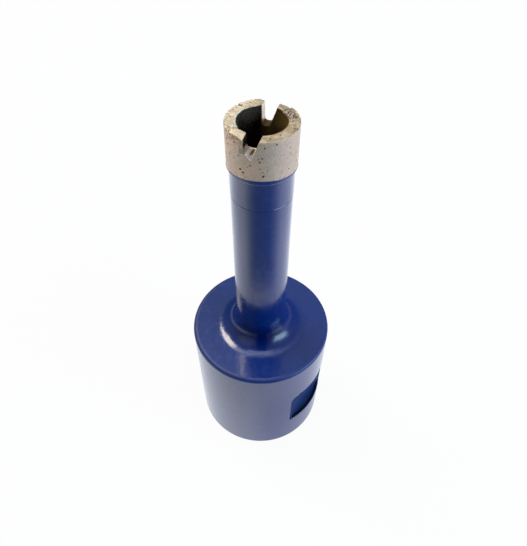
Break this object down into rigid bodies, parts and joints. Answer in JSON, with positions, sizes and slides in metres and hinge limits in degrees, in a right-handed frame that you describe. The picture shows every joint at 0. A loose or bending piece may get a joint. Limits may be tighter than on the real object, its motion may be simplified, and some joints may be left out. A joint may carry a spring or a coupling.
{
  "type": "diamond core bit",
  "caption": "Slotted diamond core bit with a sintered crown on a slim painted tube, a filleted shoulder, and a hub with wrench flats and a spindle thread in its foot.",
  "frame": {"origin": "centre of the hub's foot, on the drill's axis, where the bit stands", "axes": "+Z along the drill's axis from the hub to the crown; -Y is the front, with the shallower slot a little to its left (-X); +X is the side of the nearer wrench flat"},
  "size_m": [0.027, 0.027, 0.075],
  "materials": {
    "blue_enamel": "glossy blue enamel over turned steel",
    "sintered_matrix": "rough sintered metal with diamond grit, worn and chipped"
  },
  "bodies": {
    "root": {"drill_body": "blue_enamel", "backing_ring": "blue_enamel", "diamond_crown": "sintered_matrix"}
  },
  "joints": []
}
